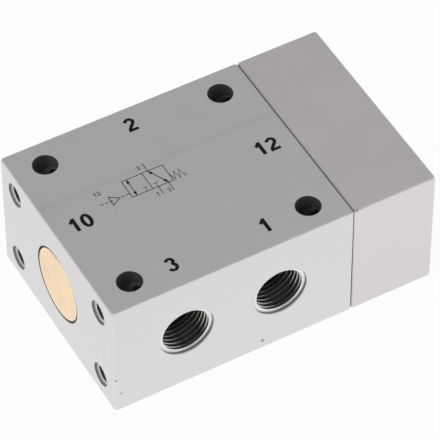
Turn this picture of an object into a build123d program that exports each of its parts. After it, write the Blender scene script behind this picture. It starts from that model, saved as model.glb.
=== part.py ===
from build123d import *
import math
import os

# Air-piloted three-port spool valve with a spring return, in millimetres, +Z up.
# The origin is the centre of the four mounting holes, on the bottom face. +X runs along the
# spool towards the pilot cap, -Y is the side of ports 3 and 1, and +Y the side of port 2.

# Block and cap
body_length = 46.0
cap_length = 16.0
block_width = 40.0
block_height = 25.0
edge_break = 0.15
corner_break = 0.55
seam_gap = 0.14
seam_gap_width = 1.0

# Mounting holes, straight through from top to bottom
mount_hole_diameter = 4.5
mount_spacing_x = 34.0
mount_spacing_y = 30.0
mount_hole_break = 0.05

# Working ports, G1/8 pipe thread tapped in a drilled hole
port_spacing = 9.0
port_thread_major = 9.728
port_drill_diameter = 8.8
port_thread_pitch = 0.907
port_flank_angle = 55.0
port_thread_depth = 8.0
port_drill_beyond_thread = 0.7
port_passage_diameter = 6.0
spot_face_diameter = 10.2
spot_face_depth = 0.5
spot_face_break = 0.1
port_mouth_diameter = 9.0

# Pilot port in the cap, same thread
pilot_thread_depth = 6.0
pilot_drill_beyond_thread = 0.3
pilot_passage_diameter = 4.0

# Tapped holes in both end faces of the block, M4
end_hole_spacing_y = 30.0
end_hole_spacing_z = 16.0
screw_thread_major = 4.0
screw_drill_diameter = 3.3
screw_thread_pitch = 0.7
screw_flank_angle = 60.0
end_hole_mouth_diameter = 4.5

# Cap screws, socket head
screw_length = 12.0
screw_engagement = 3.5
screw_head_diameter = 7.0
screw_head_height = 4.0
screw_socket_width = 3.0
screw_socket_depth = 2.0
screw_head_chamfer = 0.35
screw_hole_diameter = 4.5
screw_counterbore_diameter = 7.5
thread_clearance = 0.04

# Main bore with its stack of rings
bore_diameter = 13.5
plug_mouth_gap = 0.35
plug_mouth_depth = 0.6
slip_clearance = 0.02
seal_length = 2.4
seal_nose_length = 1.2
seal_shoulder_diameter = 10.0
seal_back_notch = 0.4
cage_inner_diameter = 9.4
cage_groove_diameter = 11.5
cage_groove_length = 4.0
cage_hole_diameter = 2.5
cage_hole_count = 8
ring_chamfer = 0.3
guide_length_12 = 2.7
guide_relief_diameter = 10.0

# End plug on the spring side
plug_length = 4.0
plug_pocket_diameter = 9.5
plug_pocket_depth = 2.4
plug_edge_break = 0.12
plug_groove_diameter = 10.9
plug_groove_length = 1.8
plug_groove_inset = 1.1
plug_seal_corner = 0.45

# Spool
spool_diameter = 8.0
spool_waist_diameter = 5.0
spool_travel = 5.0
running_clearance = 0.03
guide_clearance = 0.05
inner_cover = 0.8
outer_cover = 0.3
tail_cover = 0.7
land_bevel = 0.3
spring_pocket_diameter = 5.6
spring_pocket_depth = 7.0
vent_bore_diameter = 2.0
vent_hole_diameter = 1.5
vent_hole_inset = 1.55

# Return spring and its seat
spring_outer_diameter = 5.0
spring_wire_diameter = 0.6
spring_coils = 8
spring_ground_depth = 0.2
seat_thickness = 0.6
seat_clearance = 0.1
seat_pin_diameter = 3.4
seat_pin_length = 1.5

# Pilot piston in the cap
piston_bore_diameter = 16.0
piston_thickness = 2.5
piston_boss_diameter = 10.0
piston_boss_height = 0.5
piston_slot_width = 2.0
piston_clearance = 0.05
piston_groove_length = 1.5
piston_groove_depth = 1.3
piston_seal_notch = 0.6
stop_clearance = 0.05

# Ring seal between cap and block
face_groove_inner_diameter = 17.5
face_groove_outer_diameter = 21.0
face_groove_depth = 1.1
face_seal_clearance = 0.05
face_seal_corner = 0.4

# Places along the spool's axis
body_end = body_length / 2
cap_end = body_end + cap_length
axis_height = block_height / 2
port_face = block_width / 2
seal_centres = [(place - 1.5) * port_spacing for place in range(4)]
plug_inner_face = plug_length - body_end
piston_bore_depth = spool_travel + stop_clearance + piston_thickness + piston_boss_height
piston_face = body_end + stop_clearance + spool_travel
plug_pocket_floor = plug_inner_face - plug_pocket_depth
seat_face = plug_pocket_floor + seat_thickness
spool_tail = seal_centres[0] - seal_length / 2 - tail_cover
spring_pocket_floor = spool_tail + spring_pocket_depth
screw_head_seat = body_end + screw_length - screw_engagement

# Radii shared by pieces that fit each other
bore_radius = bore_diameter / 2
stack_radius = bore_radius - slip_clearance
spool_radius = spool_diameter / 2
guide_radius = spool_radius + guide_clearance
piston_bore_radius = piston_bore_diameter / 2

DRILL_POINT_ANGLE = 118.0

# How far a cutting shape reaches past the face that it opens
OVERSHOOT = 1.0


def turned(outline, origin=(0, 0, 0), direction=(0, 0, 1)):
    """A solid of revolution from (distance along the axis, radius) pairs, filled to the axis."""
    corners = [(0.0, outline[0][0])]
    corners += [(radius, along) for along, radius in outline]
    corners += [(0.0, outline[-1][0])]
    face = make_face(Plane.XZ * Polyline(*corners, close=True))
    solid = revolve(face, Axis.Z, 360)
    return Plane(origin=origin, z_dir=direction).location * solid


def on_axis(outline):
    """A turned solid on the spool's axis, its outline given as (X, radius) pairs."""
    return turned(outline, (0, 0, axis_height), (1, 0, 0))


def rounded_ring(along_low, along_high, inner_radius, outer_radius, corner):
    """A ring on the spool's axis with a rounded rectangular section, as a squeezed O-ring has."""
    section = Pos((along_low + along_high) / 2, (inner_radius + outer_radius) / 2) * RectangleRounded(
        along_high - along_low, outer_radius - inner_radius, corner
    )
    ring = revolve(Plane.XZ * section, Axis.X, 360)
    return Pos(0, 0, axis_height) * ring


def thread_outline(start, end, first_crest, drill_radius, major_radius, pitch, flank_angle):
    """Outline of a threaded wall from start to end: V-shaped valleys cut from the drilled radius
    out to the major radius, with the crests centred on first_crest plus whole pitches."""
    half_root = pitch / 16
    flank = (major_radius - drill_radius) * math.tan(math.radians(flank_angle / 2))
    half_valley = half_root + flank
    half_crest = pitch / 2 - half_valley
    points = [(start, drill_radius)]
    turn = math.ceil((start - first_crest - half_crest) / pitch)
    while first_crest + (turn + 1) * pitch - half_crest <= end:
        centre = first_crest + (turn + 0.5) * pitch
        points += [
            (centre - half_valley, drill_radius),
            (centre - half_root, major_radius),
            (centre + half_root, major_radius),
            (centre + half_valley, drill_radius),
        ]
        turn += 1
    points.append((end, drill_radius))
    return points


def drill_point_length(outer_radius, inner_radius):
    """Length of a drill's cone between two radii."""
    return (outer_radius - inner_radius) / math.tan(math.radians(DRILL_POINT_ANGLE / 2))


def port_space(thread_depth, beyond, passage_radius, total_depth):
    """The space of a port, from its face inwards: a sunk spot face with a broken edge, and the
    thread with its chamfered mouth, its drill point and the passage that leads on."""
    drill = port_drill_diameter / 2
    mouth = port_mouth_diameter / 2
    spot = spot_face_diameter / 2
    drill_end = thread_depth + beyond
    cone_end = drill_end + drill_point_length(drill, passage_radius)
    seat = [
        (-OVERSHOOT, spot + spot_face_break),
        (0.0, spot + spot_face_break),
        (spot_face_break, spot),
        (spot_face_depth, spot),
        (spot_face_depth, mouth),
        (spot_face_depth + mouth - drill, drill),
    ]
    hole = thread_outline(
        spot_face_depth,
        thread_depth,
        spot_face_depth,
        drill,
        port_thread_major / 2,
        port_thread_pitch,
        port_flank_angle,
    )
    hole += [(drill_end, drill), (cone_end, passage_radius), (total_depth, passage_radius)]
    return seat, hole


def end_hole_places():
    """Y and Z of the four screws and tapped holes of an end face."""
    return [
        (side * end_hole_spacing_y / 2, axis_height + level * end_hole_spacing_z / 2)
        for side in (-1, 1)
        for level in (-1, 1)
    ]


def end_hole_space():
    """The space of a tapped hole in an end face: its chamfered mouth, and the thread, which runs
    in until it meets the mounting hole's axis."""
    drill = screw_drill_diameter / 2
    mouth = end_hole_mouth_diameter / 2
    depth = body_end - mount_spacing_x / 2
    seat = [(-OVERSHOOT, mouth), (0.0, mouth), (mouth - drill, drill)]
    hole = thread_outline(
        0.0, depth, 0.0, drill, screw_thread_major / 2, screw_thread_pitch, screw_flank_angle
    )
    return seat, hole


def bar(x_low, x_high):
    """A stretch of the rectangular bar, with its edges broken and its eight corners knocked off."""
    length = x_high - x_low
    middle = Vector((x_low + x_high) / 2, 0, axis_height)
    blank = Pos(middle) * Box(length, block_width, block_height)
    blank = chamfer(blank.edges(), edge_break)
    for x_side in (-1, 1):
        for y_side in (-1, 1):
            for z_side in (-1, 1):
                outward = Vector(x_side, y_side, z_side).normalized()
                corner = middle + Vector(
                    x_side * length / 2, y_side * block_width / 2, z_side * block_height / 2
                )
                cut = corner - outward * (corner_break / math.sqrt(3))
                blank -= Plane(origin=cut, z_dir=outward).location * Box(
                    2 * corner_break,
                    2 * corner_break,
                    corner_break,
                    align=(Align.CENTER, Align.CENTER, Align.MIN),
                )
    return blank


def valve_body():
    """The machined block with its bore, three ports, four mounting holes and eight tapped holes."""
    block = bar(-body_end, body_end)
    mouth_radius = bore_radius + plug_mouth_gap
    block -= on_axis(
        [
            (-body_end - OVERSHOOT, mouth_radius),
            (plug_mouth_depth - body_end, mouth_radius),
            (plug_mouth_depth - body_end, bore_radius),
            (body_end + OVERSHOOT, bore_radius),
        ]
    )
    hole = mount_hole_diameter / 2
    flare = hole + mount_hole_break
    for x_side in (-1, 1):
        for y_side in (-1, 1):
            place = (x_side * mount_spacing_x / 2, y_side * mount_spacing_y / 2, 0)
            block -= turned(
                [
                    (-OVERSHOOT, flare),
                    (0.0, flare),
                    (mount_hole_break, hole),
                    (block_height - mount_hole_break, hole),
                    (block_height, flare),
                    (block_height + OVERSHOOT, flare),
                ],
                place,
            )
    port = port_space(
        port_thread_depth, port_drill_beyond_thread, port_passage_diameter / 2, port_face
    )
    for place, side in ((-port_spacing, -1), (0.0, 1), (port_spacing, -1)):
        for outline in port:
            block -= turned(outline, (place, side * port_face, axis_height), (0, -side, 0))
    for end in (-1, 1):
        for y, z in end_hole_places():
            for outline in end_hole_space():
                block -= turned(outline, (end * body_end, y, z), (-end, 0, 0))
    return block


def pilot_cap():
    """The cap over the spool's driven end: piston bore, seal groove, pilot port, screw holes."""
    cap = bar(body_end + seam_gap, cap_end)
    cap += Pos(body_end + seam_gap / 2, 0, axis_height) * Box(
        seam_gap, block_width - 2 * seam_gap_width, block_height - 2 * seam_gap_width
    )
    cap -= on_axis(
        [
            (body_end - OVERSHOOT, piston_bore_radius),
            (body_end + piston_bore_depth, piston_bore_radius),
        ]
    )
    groove = on_axis(
        [
            (body_end - OVERSHOOT, face_groove_outer_diameter / 2),
            (body_end + face_groove_depth, face_groove_outer_diameter / 2),
        ]
    )
    groove -= on_axis(
        [
            (body_end - OVERSHOOT, face_groove_inner_diameter / 2),
            (body_end + face_groove_depth, face_groove_inner_diameter / 2),
        ]
    )
    cap -= groove
    pilot = port_space(
        pilot_thread_depth,
        pilot_drill_beyond_thread,
        pilot_passage_diameter / 2,
        cap_length - piston_bore_depth / 2,
    )
    for outline in pilot:
        cap -= turned(outline, (cap_end, 0, axis_height), (-1, 0, 0))
    for y, z in end_hole_places():
        cap -= turned(
            [
                (body_end - OVERSHOOT, screw_hole_diameter / 2),
                (screw_head_seat, screw_hole_diameter / 2),
                (screw_head_seat, screw_counterbore_diameter / 2),
                (cap_end + OVERSHOOT, screw_counterbore_diameter / 2),
            ],
            (0, y, z),
            (1, 0, 0),
        )
    return cap


def cap_face_seal():
    """The ring squeezed between cap and block, filling its groove."""
    return rounded_ring(
        body_end,
        body_end + face_groove_depth,
        face_groove_inner_diameter / 2 + face_seal_clearance,
        face_groove_outer_diameter / 2 - face_seal_clearance,
        face_seal_corner,
    )


def cap_screw(y, z):
    """One socket head cap screw, its thread in step with the tapped hole."""
    tip = body_end - screw_engagement
    root = screw_drill_diameter / 2 - thread_clearance
    crest = screw_thread_major / 2 - thread_clearance
    head = screw_head_diameter / 2
    head_top = screw_head_seat + screw_head_height
    outline = thread_outline(
        tip, screw_head_seat, body_end, root, crest, screw_thread_pitch, screw_flank_angle
    )
    outline += [
        (screw_head_seat, head),
        (head_top - screw_head_chamfer, head),
        (head_top, head - screw_head_chamfer),
    ]
    screw = turned(outline, (0, y, z), (1, 0, 0))
    socket = extrude(RegularPolygon(screw_socket_width / 2, 6, major_radius=False), screw_socket_depth)
    return screw - Plane(origin=(head_top, y, z), z_dir=(-1, 0, 0)).location * socket


def end_plug():
    """The turned plug that closes the bore, flush with the end face."""
    outer = stack_radius
    groove = plug_groove_diameter / 2
    groove_start = plug_groove_inset - body_end
    groove_end = groove_start + plug_groove_length
    plug = on_axis(
        [
            (-body_end, outer - plug_edge_break),
            (plug_edge_break - body_end, outer),
            (groove_start, outer),
            (groove_start, groove),
            (groove_end, groove),
            (groove_end, outer),
            (plug_inner_face - plug_edge_break, outer),
            (plug_inner_face, outer - plug_edge_break),
        ]
    )
    pocket = plug_pocket_diameter / 2
    return plug - on_axis([(plug_pocket_floor, pocket), (plug_inner_face + OVERSHOOT, pocket)])


def end_plug_seal():
    """The O-ring in the plug's groove."""
    start = plug_groove_inset - body_end
    return rounded_ring(
        start,
        start + plug_groove_length,
        plug_groove_diameter / 2 + slip_clearance,
        stack_radius,
        plug_seal_corner,
    )


def guide_ring(x_low, x_high, guide_low, guide_high, relief_radius):
    """A ring that guides the spool over one stretch and clears it over the rest."""
    ring = on_axis([(x_low, stack_radius), (x_high, stack_radius)])
    ring -= on_axis([(guide_low, guide_radius), (guide_high, guide_radius)])
    ring -= on_axis(
        [(x_low, guide_radius + ring_chamfer), (x_low + ring_chamfer, guide_radius)]
    )
    if guide_high < x_high:
        ring -= on_axis([(guide_high, relief_radius), (x_high, relief_radius)])
    else:
        ring -= on_axis(
            [(x_high - ring_chamfer, guide_radius), (x_high, guide_radius + ring_chamfer)]
        )
    return ring


def guide_ring_10():
    """The plain guide ring on the spring side, from the plug to the first seal."""
    end = seal_centres[0] - seal_length / 2
    return guide_ring(plug_inner_face, end, plug_inner_face, end, guide_radius)


def guide_ring_12():
    """The guide ring on the pilot side, from the last seal to the end of the block."""
    start = seal_centres[3] + seal_length / 2
    return guide_ring(
        start, body_end, start, start + guide_length_12, guide_relief_diameter / 2
    )


def spool_seal(centre):
    """A rubber ring with a narrow nose on the spool and a notched back in the bore."""
    half = seal_length / 2
    nose = seal_nose_length / 2
    shoulder = seal_shoulder_diameter / 2
    bore = spool_radius + running_clearance
    outline = [
        (centre - half, stack_radius),
        (centre - seal_back_notch, stack_radius),
        (centre, stack_radius - seal_back_notch),
        (centre + seal_back_notch, stack_radius),
        (centre + half, stack_radius),
        (centre + half, shoulder),
        (centre + nose, bore),
        (centre - nose, bore),
        (centre - half, shoulder),
    ]
    section = make_face(Plane.XZ * Polyline(*outline, close=True))
    return Pos(0, 0, axis_height) * revolve(section, Axis.X, 360)


def flow_cage(centre):
    """A spacer with an outer groove and a ring of holes, which feeds one port to the spool."""
    half = (port_spacing - seal_length) / 2
    groove_half = cage_groove_length / 2
    groove = cage_groove_diameter / 2
    cage = on_axis(
        [
            (centre - half, stack_radius),
            (centre - groove_half, stack_radius),
            (centre - groove_half, groove),
            (centre + groove_half, groove),
            (centre + groove_half, stack_radius),
            (centre + half, stack_radius),
        ]
    )
    bore = cage_inner_diameter / 2
    cage -= on_axis([(centre - half, bore), (centre + half, bore)])
    for step in range(cage_hole_count):
        angle = math.tau * step / cage_hole_count
        outward = (0, math.cos(angle), math.sin(angle))
        cage -= turned(
            [(0, cage_hole_diameter / 2), (bore_radius, cage_hole_diameter / 2)],
            (centre, 0, axis_height),
            outward,
        )
    return cage


def spool():
    """The spool at rest: three lands, two waists, spring pocket in the tail, vented through."""
    half_seal = seal_length / 2
    land_half = port_spacing / 2 + half_seal + inner_cover - spool_travel / 2
    waist_1 = (seal_centres[0] + half_seal + outer_cover + spool_travel, spool_travel / 2 - land_half)
    waist_2 = (spool_travel / 2 + land_half, seal_centres[3] - half_seal - outer_cover)
    waist = spool_waist_diameter / 2
    outline = [(spool_tail, spool_radius - land_bevel), (spool_tail + land_bevel, spool_radius)]
    for low, high in (waist_1, waist_2):
        outline += [
            (low - land_bevel, spool_radius),
            (low, spool_radius - land_bevel),
            (low, waist),
            (high, waist),
            (high, spool_radius - land_bevel),
            (high + land_bevel, spool_radius),
        ]
    outline += [(piston_face - land_bevel, spool_radius), (piston_face, spool_radius - land_bevel)]
    shaft = on_axis(outline)
    pocket = spring_pocket_diameter / 2
    shaft -= on_axis([(spool_tail - OVERSHOOT, pocket), (spring_pocket_floor, pocket)])
    far_vent = piston_face - vent_hole_inset
    vent = vent_bore_diameter / 2
    shaft -= on_axis([(spring_pocket_floor - OVERSHOOT, vent), (far_vent, vent)])
    for place in (sum(waist_1) / 2, far_vent):
        shaft -= turned(
            [(-spool_radius, vent_hole_diameter / 2), (spool_radius, vent_hole_diameter / 2)],
            (place, 0, axis_height),
        )
    return shaft


def spring_seat():
    """The button that centres the spring in the plug's pocket."""
    flange = plug_pocket_diameter / 2 - seat_clearance
    pin = seat_pin_diameter / 2
    return on_axis(
        [
            (plug_pocket_floor, flange),
            (seat_face, flange),
            (seat_face, pin),
            (seat_face + seat_pin_length - ring_chamfer, pin),
            (seat_face + seat_pin_length, pin - ring_chamfer),
        ]
    )


def return_spring():
    """The coil spring at its fitted length, with both ends ground flat."""
    wire = spring_wire_diameter / 2
    mean_radius = spring_outer_diameter / 2 - wire
    length = spring_pocket_floor - seat_face
    rise = length - 2 * (wire - spring_ground_depth)
    path = Helix(rise / spring_coils, rise, mean_radius)
    start = Plane(origin=path @ 0, z_dir=path % 0)
    coil = sweep(start * Circle(wire), path, is_frenet=True)
    coil = Plane(
        origin=(seat_face + wire - spring_ground_depth, 0, axis_height), z_dir=(1, 0, 0)
    ).location * coil
    slab = Pos((seat_face + spring_pocket_floor) / 2, 0, axis_height) * Box(
        length, 2 * spring_outer_diameter, 2 * spring_outer_diameter
    )
    return coil & slab


def pilot_piston():
    """The loose piston that drives the spool, with a slotted boss that lets air in behind it."""
    outer = piston_bore_radius - piston_clearance
    groove = outer - piston_groove_depth
    groove_start = piston_face + (piston_thickness - piston_groove_length) / 2
    groove_end = groove_start + piston_groove_length
    back = piston_face + piston_thickness
    boss_top = back + piston_boss_height
    boss = piston_boss_diameter / 2
    piston = on_axis(
        [
            (piston_face, outer),
            (groove_start, outer),
            (groove_start, groove),
            (groove_end, groove),
            (groove_end, outer),
            (back, outer),
            (back, boss),
            (boss_top, boss),
        ]
    )
    middle = (back + boss_top) / 2
    slot = Box(piston_boss_height, piston_slot_width, piston_boss_diameter)
    slot += Box(piston_boss_height, piston_boss_diameter, piston_slot_width)
    return piston - Pos(middle, 0, axis_height) * slot


def piston_seal():
    """The piston's ring, with a notch towards the pilot air that spreads its lips."""
    start = piston_face + (piston_thickness - piston_groove_length) / 2
    end = start + piston_groove_length
    inner = piston_bore_radius - piston_clearance - piston_groove_depth + slip_clearance
    outer = piston_bore_radius - running_clearance
    middle = (inner + outer) / 2
    outline = [
        (start, inner),
        (start, outer),
        (end, outer),
        (end, outer - ring_chamfer),
        (end - piston_seal_notch, middle),
        (end, inner + ring_chamfer),
        (end, inner),
    ]
    section = make_face(Plane.XZ * Polyline(*outline, close=True))
    return Pos(0, 0, axis_height) * revolve(section, Axis.X, 360)


nodes = {
    "valve_body": valve_body(),
    "pilot_cap": pilot_cap(),
    "cap_face_seal": cap_face_seal(),
    "cap_screws": Compound([cap_screw(y, z).solid() for y, z in end_hole_places()]),
    "end_plug": end_plug(),
    "end_plug_seal": end_plug_seal(),
    "guide_ring_10": guide_ring_10(),
    "guide_ring_12": guide_ring_12(),
    "flow_cage_3": flow_cage(-port_spacing),
    "flow_cage_2": flow_cage(0.0),
    "flow_cage_1": flow_cage(port_spacing),
    "spool": spool(),
    "spring_seat": spring_seat(),
    "return_spring": return_spring(),
    "pilot_piston": pilot_piston(),
    "piston_seal": piston_seal(),
}
for number, centre in enumerate(seal_centres, 1):
    nodes[f"spool_seal_{number}"] = spool_seal(centre)

os.makedirs("parts", exist_ok=True)
for name, shape in nodes.items():
    export_step(shape, f"parts/{name}.step")
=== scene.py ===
import math

import bmesh
import bpy
import numpy as np
from mathutils import Matrix, Vector


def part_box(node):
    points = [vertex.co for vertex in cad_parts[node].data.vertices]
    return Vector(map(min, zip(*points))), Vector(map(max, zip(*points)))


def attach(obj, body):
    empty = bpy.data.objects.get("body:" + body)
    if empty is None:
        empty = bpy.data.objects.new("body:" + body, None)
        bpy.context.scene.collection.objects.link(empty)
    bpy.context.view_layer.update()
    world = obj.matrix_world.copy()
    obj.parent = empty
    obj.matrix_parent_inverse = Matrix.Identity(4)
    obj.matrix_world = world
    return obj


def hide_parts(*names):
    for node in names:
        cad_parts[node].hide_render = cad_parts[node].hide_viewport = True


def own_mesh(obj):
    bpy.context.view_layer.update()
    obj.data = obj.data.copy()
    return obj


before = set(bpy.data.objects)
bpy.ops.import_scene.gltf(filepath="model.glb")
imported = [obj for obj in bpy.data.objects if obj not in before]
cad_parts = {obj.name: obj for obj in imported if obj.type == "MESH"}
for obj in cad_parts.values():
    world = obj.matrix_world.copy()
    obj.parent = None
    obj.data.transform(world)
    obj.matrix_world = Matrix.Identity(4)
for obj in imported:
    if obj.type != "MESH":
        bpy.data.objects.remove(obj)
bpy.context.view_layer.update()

# Valve body: a block sawn from extruded aluminium bar, face milled all over, drilled and tapped,
# then bead blasted and clear anodised. The outer faces are satin and a little uneven in tone.
# The bores are painted dark with depth as shade, and thread crests painted light as highlights.

mm = 0.001
block_low, block_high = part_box("valve_body")
seam, seam_width = block_high.x, 0.14 * mm
axis_height = (block_low.z + block_high.z) / 2
half_width = block_high.y
port_spacing = 9 * mm
thread_crest = 4.4 * mm
port_root = 4.9 * mm
spot_face_radius, spot_face_depth = 5.1 * mm, 0.5 * mm
bore_mouth = 7.1 * mm
mount_x, mount_y, mount_radius = 17 * mm, 15 * mm, 2.25 * mm
end_hole_y, end_hole_rise = 15 * mm, 8 * mm
end_hole_crest, end_hole_mouth = 1.65 * mm, 2.25 * mm


def fill(node, inputs):
    """Puts values or wires in a node's inputs, which are given by name or by place."""
    for key, value in inputs.items():
        if isinstance(value, Wire):
            node.id_data.links.new(value.socket, node.inputs[key])
        else:
            node.inputs[key].default_value = value


class Wire:
    """An output of a shader node. Arithmetic on it adds a Math node and gives that node's output."""

    def __init__(self, socket):
        self.socket = socket

    def node(self, kind, settings, inputs, output=0):
        """A new node of this kind in the same material: its settings first, then its inputs."""
        made = self.socket.id_data.nodes.new("ShaderNode" + kind)
        for name, value in settings.items():
            setattr(made, name, value)
        fill(made, inputs)
        return Wire(made.outputs[output])

    def math(self, operation, *values):
        """A Math node on these values, which are numbers or wires."""
        return self.node("Math", {"operation": operation}, dict(enumerate(values)))

    def __add__(self, other):
        return self.math("ADD", self, other)

    __radd__ = __add__

    def __sub__(self, other):
        return self.math("SUBTRACT", self, other)

    def __rsub__(self, other):
        return self.math("SUBTRACT", other, self)

    def __mul__(self, other):
        return self.math("MULTIPLY", self, other)

    __rmul__ = __mul__

    def __truediv__(self, other):
        return self.math("DIVIDE", self, other)

    def __pow__(self, other):
        return self.math("POWER", self, other)

    def __abs__(self):
        return self.math("ABSOLUTE", self)

    def sign(self):
        """-1, 0 or 1 where the value is below, at or above nothing."""
        return self.math("SIGN", self)

    def least(self, other):
        """The smaller of two values."""
        return self.math("MINIMUM", self, other)

    def most(self, other):
        """The larger of two values."""
        return self.math("MAXIMUM", self, other)

    def rise(self, start, end):
        """0 up to start and 1 from end on, with a smooth step between them."""
        settings = {"interpolation_type": "SMOOTHSTEP"}
        return self.node("MapRange", settings, {0: self, 1: start, 2: end})

    def blend(self, low, high):
        """The colour low where this mask is 0, and high where it is 1."""
        return self.node("Mix", {"data_type": "RGBA"}, {0: self, 6: low, 7: high}, 2)

    def parts(self):
        """The three parts of a vector."""
        split = self.node("SeparateXYZ", {}, {0: self}).socket.node
        return [Wire(output) for output in split.outputs]

    def stretched(self, along_x, along_y, along_z):
        """A place scaled by its own number along each axis."""
        return self.node("Mapping", {}, {0: self, 3: (along_x, along_y, along_z)})

    def noise(self, scale, detail=2.0):
        """Smooth noise from 0 to 1, with this many lumps to a metre, on a place."""
        return self.node("TexNoise", {}, {"Vector": self, "Scale": scale, "Detail": detail})

    def bumps(self, height):
        """The normal of a surface whose height is this wire times a real height in metres."""
        return self.node("Bump", {}, {"Height": self, "Distance": height})


def new_finish(name):
    """A material, its Principled shader, and the wire of the place on the part, in metres."""
    finish = bpy.data.materials.new(name)
    finish.use_nodes = True
    nodes = finish.node_tree.nodes
    place = nodes.new("ShaderNodeTexCoord").outputs["Object"]
    return finish, nodes["Principled BSDF"], Wire(place)


def dress(node_name, finish):
    """Gives every face of a CAD node this material."""
    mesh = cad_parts[node_name].data
    mesh.materials.clear()
    mesh.materials.append(finish)


def in_valley(off_axis, crest_radius):
    """1 in a thread's valleys and 0 on its crests, from the distance to the hole's axis."""
    return off_axis.rise(1.005 * crest_radius, 1.05 * crest_radius)


def length_of(first, second):
    """The length of a flat vector with these two parts."""
    return (first * first + second * second) ** 0.5


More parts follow.
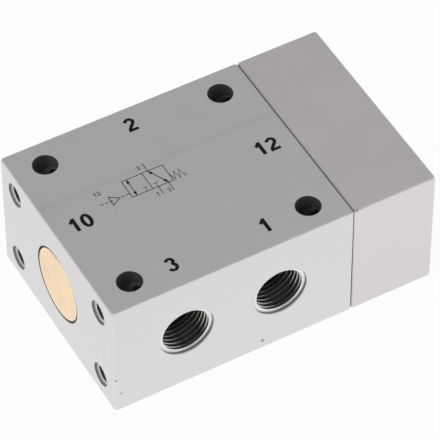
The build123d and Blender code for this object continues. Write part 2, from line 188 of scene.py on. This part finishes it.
def machined_aluminium(name, low, high, open_end, tone, cloud_tone, port_offset, marks):
    """Satin milled aluminium between two corners. How deep a point lies under the nearest outer
    face tells bores from faces, and the second nearest face tells how close an edge is.
    port_offset gives a place seen from the nearest port's axis, to the side and up, and marks
    darken the faces: dings, milling marks, and the cap's side faces, more towards the bottom."""
    finish, shader, place = new_finish(name)
    x, y, z = place.parts()
    under_side = half_width - abs(y)
    under_top = (high.z - z).least(z - low.z)
    under_end = abs(x - open_end)
    outer_end = under_end.least(abs(x - seam))
    depth = under_side.least(under_top).least(under_end)
    edge = under_side.most(under_top).least(under_side.most(outer_end))
    edge = edge.least(under_top.most(outer_end))
    # Near the edges the colour is lightened: partly rubbed edges, partly a painted highlight along
    # them.
    edge_wear_and_highlight = 1 - edge.rise(0.05 * mm, 0.4 * mm)

    aside, above = port_offset(x, y, z)
    off_port = length_of(aside, above)
    off_mount = length_of(abs(x) - mount_x, abs(y) - mount_y)
    hole_aside = y - end_hole_y * y.sign()
    hole_above = z - axis_height - end_hole_rise * (z - axis_height).sign()
    off_hole = length_of(hole_aside, hole_above)
    off_spool = length_of(y, z - axis_height)
    in_spot = 1 - off_port.rise(spot_face_radius + 0.12 * mm, spot_face_radius + 0.14 * mm)
    in_port = 1 - off_port.rise(port_root, port_root + 0.04 * mm)
    in_mount = 1 - off_mount.rise(mount_radius + 0.03 * mm, mount_radius + 0.06 * mm)
    in_hole = 1 - off_hole.rise(end_hole_mouth, end_hole_mouth + 0.03 * mm)
    in_bore = 1 - off_spool.rise(bore_mouth + 0.03 * mm, bore_mouth + 0.07 * mm)
    in_mouth = in_bore * (1 - (x - block_low.x).rise(1.0 * mm, 1.1 * mm))
    opened = in_mount.most(in_hole).most(in_mouth)
    # bore is 1 deep in holes, bores and ports, and there the colour is darkened as painted shade.
    bore = (depth + 0.3 * mm * opened - 0.33 * mm * in_spot).rise(0.22 * mm, 0.36 * mm)

    cloud = place.noise(110, 3)
    blast = place.noise(3600, 1)
    stain = place.noise(640, 2)
    scratch = place.stretched(30, 1500, 1500).noise(1, 4)
    shade = 0.915 + 0.08 * cloud + 0.04 * stain + 0.05 * blast + 0.02 * scratch - marks(x, y, z)
    face = cloud.rise(0.4, 0.65).blend(tone, cloud_tone)
    face = (0.5 * edge_wear_and_highlight).blend(face, (0.80, 0.80, 0.80, 1))
    face = face.node("VectorMath", {"operation": "SCALE"}, {0: face, "Scale": shade})
    # The floor of each spot face is painted lighter, as a painted highlight.
    spot_floor = 1 - off_port.rise(spot_face_radius - 0.05 * mm, spot_face_radius)
    face = (0.8 * spot_floor).blend(face, (0.93, 0.93, 0.92, 1))

    valley = in_port * in_valley(off_port, thread_crest)
    valley = valley + in_hole * in_valley(off_hole, end_hole_crest)
    threaded = in_port.most(in_hole)
    # One side of each port, found by direction from its axis, has its crests painted dark as shade.
    shaded_port_side = ((0.42 * aside - 0.91 * above) / off_port).rise(0.72, 0.95) * in_port
    # Painted highlight on the thread crests near the mouth, fading to painted shade deeper in.
    crest = depth.rise(2 * mm, 8 * mm).blend((0.86, 0.85, 0.81, 1), (0.22, 0.215, 0.20, 1))
    crest = (0.8 * shaded_port_side).blend(crest, (0.15, 0.148, 0.14, 1))
    # root: the thread valleys, painted dark as shade.
    root = in_hole.blend((0.11, 0.107, 0.10, 1), (0.24, 0.235, 0.22, 1))
    # Painted shade inside: drilled walls near black, and the spool bore a darker brown-grey.
    inside = threaded.blend((0.115, 0.112, 0.105, 1), valley.blend(crest, root))
    inside = (in_bore * (1 - in_port)).blend(inside, (0.50, 0.45, 0.37, 1))
    # The walls of the gap round the end plug are painted dark brown-grey as shade.
    inside = in_mouth.blend(inside, (0.30, 0.25, 0.215, 1))
    # The chamfers of the end holes are painted dark as shade, with a painted highlight on their far
    # side.
    chamfer = in_hole * (1 - depth.rise(0.6 * mm, 0.62 * mm))
    far_side = ((0.62 * hole_aside - 0.79 * hole_above) / off_hole).rise(-0.3, 0.3)
    rim_highlight = far_side * (1 - off_hole.rise(1.95 * mm, 2.03 * mm))
    chamfer_tone = rim_highlight.blend((0.14, 0.135, 0.13, 1), (0.72, 0.71, 0.69, 1))
    inside = chamfer.blend(inside, chamfer_tone)

    # The wall of each spot face, and the floor just beside it, are painted dark as shade.
    wall = off_port.rise(spot_face_radius - 0.05 * mm, spot_face_radius - 0.02 * mm)
    wall = wall * in_spot * depth.rise(0.16 * mm, 0.3 * mm)
    # Painted shade in the seam and in a narrow band beside it: darkest on the top face, and on the
    # sides lighter towards the top, as painted light.
    beside_seam = abs(x - seam - seam_width / 2)
    in_seam = (1 - beside_seam.rise(0.5 * seam_width, seam_width)) * depth.rise(0.1 * mm, 0.2 * mm)
    on_top = (under_side - under_top).rise(-0.1 * mm, 0.1 * mm)
    lip = 1 - abs(x - seam - seam_width).rise(0.8 * seam_width, 2 * seam_width)
    lip = lip * (0.3 + 0.2 * on_top)
    seam_side = z.rise(0, high.z).blend((0.33, 0.325, 0.31, 1), (0.72, 0.71, 0.69, 1))
    seam_tone = on_top.blend(seam_side, (0.24, 0.22, 0.215, 1))
    wall_and_seam_shade = wall.most(in_seam * on_top)
    colour = bore.blend(face, inside)
    colour = wall.blend(colour, (0.17, 0.168, 0.16, 1))
    colour = in_seam.most(lip).blend(colour, seam_tone)
    dull = (1 - threaded + valley + in_mouth).least(1)

    surface = scratch * 0.6 + blast * 0.4
    fill(shader, {
        "Base Color": colour,
        "Metallic": 1 - 0.75 * (bore * dull).most(wall_and_seam_shade),
        "Roughness": 0.40 + 0.07 * cloud - 0.2 * bore * (1 - dull),
        "Normal": surface.bumps(0.006 * mm),
    })
    return finish


def block_port_offset(x, y, z):
    """Place seen from the nearer front port's axis in the front half, or the back port's behind."""
    in_front = 1 - y.rise(-0.5 * mm, 0.5 * mm)
    return x - port_spacing * x.sign() * in_front, z - axis_height


def block_marks(x, y, z):
    """The faint line where two cutter passes meet along the top, and three small dings in front."""
    along_top = 1 - abs(y - 6.4 * mm - 0.01 * x).rise(0, 0.9 * mm)
    marks = 0.05 * along_top * z.rise(block_high.z - 0.1 * mm, block_high.z)
    for ding_x, ding_z, radius in ((-22.7, 7.9, 0.36), (-21.8, 4.1, 0.32), (5.5, 1.85, 0.5)):
        ding = 1 - length_of(x - ding_x * mm, z - ding_z * mm).rise(0.1 * radius * mm, radius * mm)
        marks = marks + 0.75 * ding * (1 - y.rise(block_low.y, block_low.y + 0.2 * mm))
    return marks


dress("valve_body", machined_aluminium(
    "body_aluminium", block_low, block_high, block_low.x, (0.752, 0.740, 0.746, 1),
    (0.745, 0.738, 0.732, 1), block_port_offset, block_marks,
))

# Guide rings and flow cages: rings turned from natural acetal rod, slid into the bore one after
# another. They space the rubber rings, and their radial holes let the air through.


def turned_plastic(name, tone):
    """Satin plastic with fine rings cut by the tool round the spool's axis."""
    finish, shader, place = new_finish(name)
    x, y, z = place.parts()
    groove = place.stretched(4200, 60, 60).noise(1, 3)
    cloud = place.noise(260)
    shade = 0.9 + 0.08 * cloud + 0.06 * groove
    fill(shader, {
        "Base Color": place.node(
            "VectorMath", {"operation": "SCALE"}, {0: tone, "Scale": shade}
        ),
        "Roughness": 0.34 + 0.1 * groove,
        "Normal": groove.bumps(0.008 * mm),
    })
    return finish


acetal = turned_plastic("ring_acetal", (0.80, 0.78, 0.71))
for ring in ("guide_ring_10", "flow_cage_3", "flow_cage_2", "flow_cage_1", "guide_ring_12"):
    dress(ring, acetal)

# Seals: black nitrile rubber, moulded. The four spool rings, the plug's and the piston's O-rings
# and the flat ring under the cap share it. It is matt, with a film of grease that shines in places.

rubber, rubber_shader, on_rubber = new_finish("seal_rubber")
bloom = on_rubber.noise(900, 3)
grease = on_rubber.noise(240, 2).rise(0.45, 0.7)
fill(rubber_shader, {
    "Base Color": bloom.blend((0.010, 0.010, 0.011, 1), (0.030, 0.030, 0.032, 1)),
    "Roughness": 0.62 - 0.3 * grease,
    "Normal": bloom.bumps(0.01 * mm),
})
spool_seals = [f"spool_seal_{place}" for place in (1, 2, 3, 4)]
for seal in (*spool_seals, "cap_face_seal", "end_plug_seal", "piston_seal"):
    dress(seal, rubber)

# Spool and pilot piston: turned from aluminium bar. The lands are ground and hard anodised to a
# smooth dark grey. The piston is left as turned and dull, and its tone is darkened as painted shade.


def turned_metal(name, tone, rough, ring_height):
    """Metal with fine tool rings round the spool's axis, on round faces and on flat ends alike."""
    finish, shader, place = new_finish(name)
    x, y, z = place.parts()
    off_axis = length_of(y, z - axis_height)
    rings = place.node("CombineXYZ", {}, {0: x * 1.3 + off_axis, 1: 0.0, 2: 0.0})
    groove = rings.noise(3800, 3)
    cloud = place.noise(300, 3)
    shade = 0.9 + 0.1 * cloud + 0.07 * groove
    fill(shader, {
        "Base Color": place.node(
            "VectorMath", {"operation": "SCALE"}, {0: tone, "Scale": shade}
        ),
        "Metallic": 1.0,
        "Roughness": rough + 0.12 * groove,
        "Normal": groove.bumps(ring_height),
    })
    return finish


dress("spool", turned_metal("spool_anodised", (0.30, 0.31, 0.33), 0.22, 0.002 * mm))
# The piston's tone is darkened as painted shade, for where it shows inside the pilot port.
dress("pilot_piston", turned_metal("piston_aluminium", (0.42, 0.42, 0.43), 0.34, 0.006 * mm))

# Return spring and its seat: eight coils of patented steel wire, closed and ground flat at both
# ends, centred on a turned plastic button in the plug.

spring_low, spring_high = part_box("return_spring")
wire_radius = 0.3 * mm
coil_radius = (spring_high.y - spring_low.y) / 2 - wire_radius
coil_count = 8
closed_turns = 1.0
sections_in_turn = 40
sides_of_wire = 14


def grid_faces(rows, columns, joined):
    """Quads between neighbouring rows of points, each row closed on itself, and between the last
    row and the first where joined, or else a filled face at each end."""
    row, column = np.meshgrid(np.arange(rows), np.arange(columns), indexing="ij")
    here = row * columns + column
    beside = row * columns + (column + 1) % columns
    onward = (here + columns) % (rows * columns)
    onward_beside = (beside + columns) % (rows * columns)
    quads = np.stack([here, beside, onward_beside, onward], axis=-1)
    quads = quads if joined else quads[:-1]
    faces = quads.reshape(-1, 4).tolist()
    if not joined:
        faces.append(list(range(columns)))
        faces.append(list(range((rows - 1) * columns, rows * columns)))
    return faces


def closed_piece(name, skins, finish, smooth):
    """One object from several closed skins: each is a grid of points and whether it joins up."""
    points, faces = [], []
    for grid, joined in skins:
        start = sum(len(group) for group in points)
        rows, columns = grid.shape[:2]
        points.append(grid.reshape(-1, 3))
        faces += [[corner + start for corner in face] for face in grid_faces(rows, columns, joined)]
    mesh = bpy.data.meshes.new(name)
    mesh.from_pydata(np.concatenate(points).tolist(), [], faces)
    whole = bmesh.new()
    whole.from_mesh(mesh)
    bmesh.ops.recalc_face_normals(whole, faces=whole.faces)
    whole.to_mesh(mesh)
    whole.free()
    mesh.polygons.foreach_set("use_smooth", np.full(len(mesh.polygons), smooth))
    mesh.materials.append(finish)
    piece = bpy.data.objects.new(name, mesh)
    bpy.context.scene.collection.objects.link(piece)
    return piece


def coil_skin():
    """Points on a wire wound round the spool's axis. Along the wire the angle grows evenly, and
    the advance per turn is one wire thickness in the closed end turns and wider between them.
    Round the wire a circle stands square to its path. The ends are ground to the fitted length."""
    turn = np.linspace(0, coil_count, coil_count * sections_in_turn + 1)
    inner_turns = coil_count - 2 * closed_turns
    length = spring_high.x - spring_low.x
    end_rise = 1.7 * wire_radius * closed_turns
    middle_rise = length - 2 * (end_rise + 0.4 * wire_radius)
    advance = np.interp(
        turn,
        [0, closed_turns, closed_turns + inner_turns, coil_count],
        [0, end_rise, end_rise + middle_rise, middle_rise + 2 * end_rise],
    )
    centre_x = spring_low.x + 0.4 * wire_radius + advance
    angle = 2 * math.pi * turn
    round_wire = np.linspace(0, 2 * math.pi, sides_of_wire, endpoint=False)
    radius = coil_radius + wire_radius * np.cos(round_wire)[None, :]
    x = centre_x[:, None] + wire_radius * np.sin(round_wire)[None, :]
    y = radius * np.cos(angle)[:, None]
    z = axis_height + radius * np.sin(angle)[:, None]
    return np.stack([np.clip(x, spring_low.x, spring_high.x), y, z], axis=-1)


spring_steel = turned_metal("spring_steel", (0.50, 0.50, 0.51), 0.25, 0.004 * mm)
spring = closed_piece("return_spring_coils", [(coil_skin(), False)], spring_steel, True)
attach(spring, "housing")
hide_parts("return_spring")
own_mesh(spring)
dress("spring_seat", acetal)

# End plug: a disc turned from brass bar, pressed in flush with the end face against the spring.
# Its outer face is wiped and slightly tarnished, so the pale gold has warmer and greener patches.

plug_low, plug_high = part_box("end_plug")
brass, brass_shader, on_brass = new_finish("plug_brass")
brass_x, brass_y, brass_z = on_brass.parts()
plug_radius = (plug_high.y - plug_low.y) / 2
from_centre = length_of(brass_y, brass_z - axis_height)
tool_path = on_brass.node("CombineXYZ", {}, {0: from_centre, 1: brass_x, 2: 0.0})
tool_rings = tool_path.noise(2600, 3)
tarnish = on_brass.noise(210, 2)
warmth = on_brass.noise(320, 2)
# Near its rim the brass is painted paler, as a painted highlight along the edge.
rim = from_centre.rise(plug_radius - 0.5 * mm, plug_radius - 0.25 * mm)
# The plug's side in the gap is painted dark brown as shade, and made less metallic.
plug_side = from_centre.rise(plug_radius - 0.1 * mm, plug_radius - 0.07 * mm)
plug_side = plug_side * (brass_x - plug_low.x).rise(0.07 * mm, 0.12 * mm)
gold = warmth.rise(0.35, 0.65).blend((0.94, 0.77, 0.48, 1), (0.98, 0.74, 0.53, 1))
gold = (0.8 * rim).blend(gold, (1.0, 0.86, 0.63, 1))
gold = gold.node(
    "VectorMath", {"operation": "SCALE"},
    {0: gold, "Scale": 0.90 + 0.04 * tool_rings + 0.10 * tarnish.rise(0.3, 0.65)},
)
fill(brass_shader, {
    "Base Color": plug_side.blend(gold, (0.12, 0.09, 0.06, 1)),
    "Metallic": 1 - 0.7 * plug_side,
    "Roughness": 0.36 + 0.08 * tarnish,
    "Normal": tool_rings.bumps(0.004 * mm),
})
dress("end_plug", brass)

# Pilot cap: the second block of the same bar, which closes the bore and holds the piston and the
# pilot port. It comes from another length of bar, so its anodising is a shade warmer.

cap_low, cap_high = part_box("pilot_cap")


def cap_port_offset(x, y, z):
    """Place seen from the pilot port's axis, which is the spool's axis."""
    return y, z - axis_height


def cap_marks(x, y, z):
    """Slight darkening of the side faces of the cap towards the bottom, and a bruise on its front
    upper edge beside the seam."""
    on_side = 1 - z.rise(cap_high.z - 0.2 * mm, cap_high.z)
    from_edge = length_of(y - cap_low.y, z - cap_high.z)
    bruise = 1 - length_of(0.55 * (x - seam - 0.3 * mm), from_edge).rise(0.15 * mm, 0.5 * mm)
    return 0.025 * on_side + 0.07 * (1 - z.rise(-10 * mm, 40 * mm)) * on_side + 0.5 * bruise


dress("pilot_cap", machined_aluminium(
    "cap_aluminium", cap_low, cap_high, cap_high.x, (0.778, 0.750, 0.742, 1),
    (0.785, 0.748, 0.745, 1), cap_port_offset, cap_marks,
))

# Cap screws: four M4 socket head screws of zinc plated steel, sunk in the cap's counterbores.
# Below the top of the heads, the sockets and the gap round the heads are painted dark as shade.

screws_low, screws_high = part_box("cap_screws")
zinc, zinc_shader, on_zinc = new_finish("screw_zinc")
zinc_x, zinc_y, zinc_z = on_zinc.parts()
# Everything below the top of the heads is painted dark as shade.
under_head_top = (screws_high.x - zinc_x).rise(0.2 * mm, 1.8 * mm)
zinc_cloud = on_zinc.noise(500, 3)
plated = zinc_cloud.rise(0.35, 0.7).blend((0.62, 0.63, 0.64, 1), (0.52, 0.54, 0.58, 1))
fill(zinc_shader, {
    "Base Color": under_head_top.blend(plated, (0.16, 0.155, 0.15, 1)),
    "Metallic": 1.0,
    "Roughness": 0.28 + 0.16 * zinc_cloud,
    "Normal": on_zinc.noise(5200, 1).bumps(0.004 * mm),
})
dress("cap_screws", zinc)

# Port numbers and valve symbol: black ink, pad printed on the top face and baked. The numbers are
# plain bold figures, and the symbol is the standard drawing of a three-port spool valve with air
# pilot at the 12 end and a spring at the 10 end.

top = block_high.z
ink_height = 0.012 * mm
layer_step = 0.0005 * mm

ink, ink_shader, on_ink = new_finish("print_ink")
speckle = on_ink.noise(2600, 2)
fill(ink_shader, {
    "Base Color": speckle.blend((0.004, 0.004, 0.005, 1), (0.014, 0.013, 0.013, 1)),
    "Roughness": 0.55 + 0.2 * speckle,
    "Specular IOR Level": 0.15,
    "Normal": speckle.bumps(0.003 * mm),
})


def arc(centre, across, upward, start, stop, count=20):
    """Points on an ellipse about a centre, from one angle to another, in degrees."""
    angle = np.radians(np.linspace(start, stop, count))
    return np.stack(
        [centre[0] + across * np.cos(angle), centre[1] + upward * np.sin(angle)], axis=-1
    )


def stroke_skin(path, breadth, layer, joined=False, flat=1.0):
    """A thin bar of ink along a flat path. Each point moves to both sides along the mean of its
    two segments' normals, lengthened as a mitre, by half the breadth. A flat below 1 makes the
    strokes thinner where they run across the figure, as a type cutter draws them."""
    path = np.asarray(path, float)
    after = np.roll(path, -1, axis=0) - path
    before = path - np.roll(path, 1, axis=0)
    if not joined:
        after[-1] = before[-1]
        before[0] = after[0]
    after /= np.linalg.norm(after, axis=1, keepdims=True)
    before /= np.linalg.norm(before, axis=1, keepdims=True)
    both = after + before
    square = np.stack([-both[:, 1], both[:, 0]], axis=-1)
    mitre = square / (1 + (after * before).sum(axis=1, keepdims=True))
    level = np.abs(both[:, :1]) / np.linalg.norm(both, axis=1, keepdims=True)
    offset = mitre * breadth / 2 * (1 - (1 - flat) * level)
    height = top + ink_height + layer * layer_step
    corners = [(path + offset, top), (path + offset, height)]
    corners += [(path - offset, height), (path - offset, top)]
    sides = [np.column_stack([place, np.full(len(path), z)]) for place, z in corners]
    return np.stack(sides, axis=1), joined


def figure_paths(figure):
    """The middle lines of a figure's strokes, in figure heights from its lower left corner, and
    whether each closes on itself."""
    if figure == "0":
        return [(arc((0.33, 0.5), 0.225, 0.42, 0, 352.5, 48), True)]
    if figure == "1":
        stem = np.array([(0.36, 0.0), (0.36, 1.0)])
        flag = np.array([(0.10, 0.70), (0.24, 0.78), (0.34, 0.93)])
        return [(stem, False), (flag, False)]
    if figure == "2":
        hook = arc((0.325, 0.70), 0.22, 0.22, 168, -30, 26)
        neck = [(0.43, 0.48), (0.31, 0.37), (0.20, 0.25), (0.15, 0.17), (0.135, 0.08)]
        return [(np.concatenate([hook, neck, [(0.63, 0.08)]]), False)]
    upper = arc((0.315, 0.725), 0.195, 0.195, 165, -84, 26)
    lower = arc((0.315, 0.305), 0.225, 0.225, 84, -166, 30)
    return [(upper, False), (lower, False)]


def number_skins(text, left, bottom, height, weight, advance, first_layer):
    """The strokes of a number, with its lower left corner at a place on the top face."""
    skins = []
    for place, figure in enumerate(text):
        corner = np.array([left + place * advance * height, bottom])
        for path, joined in figure_paths(figure):
            skins.append(stroke_skin(
                corner + height * path, weight * height, first_layer + len(skins), joined, 0.84
            ))
    return skins


numbers = []
for text, left, bottom in (
    ("2", -0.98, 14.55), ("10", -20.0, -1.15), ("12", 15.65, -1.25), ("3", -10.2, -16.7),
    ("1", 7.65, -16.75),
):
    numbers += number_skins(text, left * mm, bottom * mm, 3.05 * mm, 0.22, 0.73, len(numbers))
port_numbers = closed_piece("port_numbers", numbers, ink, False)
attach(port_numbers, "housing")

line, fine_line = 0.13 * mm, 0.095 * mm
symbol = []


def draw(points, breadth=line, joined=False):
    """Adds one stroke of the symbol, through points in millimetres on the top face."""
    symbol.append(stroke_skin(np.array(points) * mm, breadth, len(symbol), joined))


box_left, box_middle, box_right = -7.65, -3.75, 0.2
box_bottom, box_top = 1.18, 5.2
draw(
    [(box_left, box_bottom), (box_right, box_bottom), (box_right, box_top), (box_left, box_top)],
    joined=True,
)
draw([(box_middle, box_bottom), (box_middle, box_top)])


def arrowhead(tip, tail, length=0.95, breadth=0.62):
    """A filled triangle with its point at tip, on the line from tail."""
    tip, tail = np.array(tip), np.array(tail)
    along = (tip - tail) / np.linalg.norm(tip - tail)
    square = np.array([-along[1], along[0]]) * breadth / 2
    back = tip - along * length
    height = top + ink_height + len(symbol) * layer_step
    outline = np.array([back + square, tip + square * 0.05, tip - square * 0.05, back - square])
    skin = [np.column_stack([outline * mm, np.full(4, z)]) for z in (top, height)]
    symbol.append((np.stack(skin), False))


for start, end, breadth in (
    ((-6.75, 5.2), (-6.75, 1.18), line), ((-2.66, 5.2), (-0.65, 1.18), 1.3 * line),
):
    draw([start, end], breadth)
    arrowhead(start, end)
    arrowhead(end, start)
for foot_x, foot_y in ((-2.72, box_bottom), (-4.75, box_bottom)):
    draw([(foot_x, foot_y), (foot_x, 2.1)], fine_line)
    draw([(foot_x - 0.45, 2.15), (foot_x + 0.45, 2.15)], fine_line)
for pipe_x, start_y, end_y in ((-2.62, 5.2, 7.3), (-2.7, 1.18, -0.6), (-0.75, 1.18, -0.8)):
    draw([(pipe_x, start_y), (pipe_x, end_y)])

pilot_y = 2.15
pilot_dash, pilot_gap = 0.62, 0.32
for start in np.arange(-13.3, -11.4, pilot_dash + pilot_gap):
    draw([(start, pilot_y), (start + pilot_dash, pilot_y)])
draw([(-9.6, pilot_y), (-11.25, pilot_y - 1.02), (-11.25, pilot_y + 1.02)], joined=True)
for start in np.arange(-9.3, -7.7, pilot_dash + pilot_gap):
    draw([(start, pilot_y), (min(start + pilot_dash, box_left), pilot_y)])

spring_start, spring_step = 0.2, 0.47
zigzag = [(spring_start + step * spring_step, 3.05 if step % 2 == 0 else 1.18) for step in range(6)]
draw([*zigzag, (spring_start + 5.6 * spring_step, 1.9)], 0.8 * fine_line)

for text, left, bottom in (
    ("12", -13.25, 4.25), ("2", -3.95, 6.1), ("1", -3.85, -0.75), ("3", -1.75, -0.85),
):
    symbol += number_skins(text, left * mm, bottom * mm, 0.95 * mm, 0.12, 0.72, len(symbol))
valve_symbol = closed_piece("valve_symbol", symbol, ink, False)
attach(valve_symbol, "housing")

# Studio: a white sweep all round the part, which curves up to a low wall, under a plain grey
# surround and soft lamps. Milled faces that lean down mirror the white floor, and the top face
# mirrors the grey, as in the photo.

sweep_flat, sweep_wall, sweep_height = 0.45, 1.5, 0.2
rings_of_sweep, sides_of_sweep = 40, 96


def sweep_points():
    """Points by distance from the centre and angle round it. The height is nothing as far as the
    flat part, and then grows with the square of the distance past it."""
    distance = np.linspace(0.0, 1.0, rings_of_sweep)[:, None] ** 1.5 * sweep_wall
    angle = np.linspace(0, 2 * math.pi, sides_of_sweep, endpoint=False)[None, :]
    past = np.clip((distance - sweep_flat) / (sweep_wall - sweep_flat), 0, 1)
    x = distance * np.cos(angle)
    y = distance * np.sin(angle)
    z = sweep_height * past**2 + 0 * angle
    return np.stack([x, y, z], axis=-1)


white, white_shader, on_floor = new_finish("studio_white")
fill(white_shader, {"Base Color": (0.92, 0.92, 0.92, 1), "Roughness": 0.9})
rays = on_floor.node("LightPath", {}, {}).socket.node
seen = Wire(rays.outputs["Is Camera Ray"]).most(Wire(rays.outputs["Is Glossy Ray"]))
seen = seen.most(Wire(rays.outputs["Is Transmission Ray"]))
glow = on_floor.node("Emission", {}, {"Color": (1, 1, 1, 1), "Strength": 1.0})
cover = on_floor.node(
    "MixShader", {}, {0: seen * 0.95, 1: Wire(white_shader.outputs["BSDF"]), 2: glow}
)
fill(white.node_tree.nodes["Material Output"], {"Surface": cover})

floor_mesh = bpy.data.meshes.new("studio_floor")
floor_grid = sweep_points()
floor_mesh.from_pydata(
    floor_grid.reshape(-1, 3).tolist(), [], grid_faces(rings_of_sweep, sides_of_sweep, False)[:-2]
)
floor_mesh.polygons.foreach_set("use_smooth", np.full(len(floor_mesh.polygons), True))
floor_mesh.materials.append(white)
floor = bpy.data.objects.new("studio_floor", floor_mesh)
bpy.context.scene.collection.objects.link(floor)

world = bpy.data.worlds.new("studio_surround")
world.use_nodes = True
fill(world.node_tree.nodes["Background"], {"Color": (0.433, 0.428, 0.435, 1), "Strength": 1.0})
bpy.context.scene.world = world

part_middle = Vector(((block_low.x + cap_high.x) / 2, 0, axis_height))
for lamp_name, bearing, rise, distance, size, power in (
    ("left_lamp", -85, 40, 0.9, 1.1, 2.4),
    ("right_lamp", 75, 40, 0.9, 1.1, 2.2),
):
    turn, climb = math.radians(bearing), math.radians(rise)
    outward = Vector(
        (math.sin(turn) * math.cos(climb), -math.cos(turn) * math.cos(climb), math.sin(climb))
    )
    lamp_data = bpy.data.lights.new(lamp_name, "AREA")
    lamp_data.shape = "DISK"
    lamp_data.size = size
    lamp_data.energy = power
    lamp = bpy.data.objects.new(lamp_name, lamp_data)
    lamp.location = part_middle + outward * distance
    lamp.rotation_euler = outward.to_track_quat("Z", "Y").to_euler()
    lamp.visible_camera = False
    bpy.context.scene.collection.objects.link(lamp)

# Camera: a long lens from the front left, high enough to show the printed face. It stands at
# this bearing and height about the middle of the bottom face, and a little to the right of it.

camera_bearing, camera_rise, camera_roll = (math.radians(a) for a in (-29.219, 48.161, -0.213))
camera_distance = 629.1 * mm
camera_right, camera_up = 7.355 * mm, 10.808 * mm
focal_length = 296.75

across = Vector((math.cos(camera_bearing), math.sin(camera_bearing), 0))
backward = Vector((
    math.sin(camera_bearing) * math.cos(camera_rise),
    -math.cos(camera_bearing) * math.cos(camera_rise),
    math.sin(camera_rise),
))
upward = backward.cross(across)
across, upward = (
    math.cos(camera_roll) * across + math.sin(camera_roll) * upward,
    math.cos(camera_roll) * upward - math.sin(camera_roll) * across,
)
camera_data = bpy.data.cameras.new("camera")
camera_data.lens = focal_length
camera_data.clip_start = 0.05
camera = bpy.data.objects.new("camera", camera_data)
camera.matrix_world = Matrix.Translation(
    across * camera_right + upward * camera_up + backward * camera_distance
) @ Matrix((across, upward, backward)).transposed().to_4x4()
bpy.context.scene.collection.objects.link(camera)
bpy.context.scene.camera = camera
bpy.context.scene.view_settings.view_transform = "Standard"
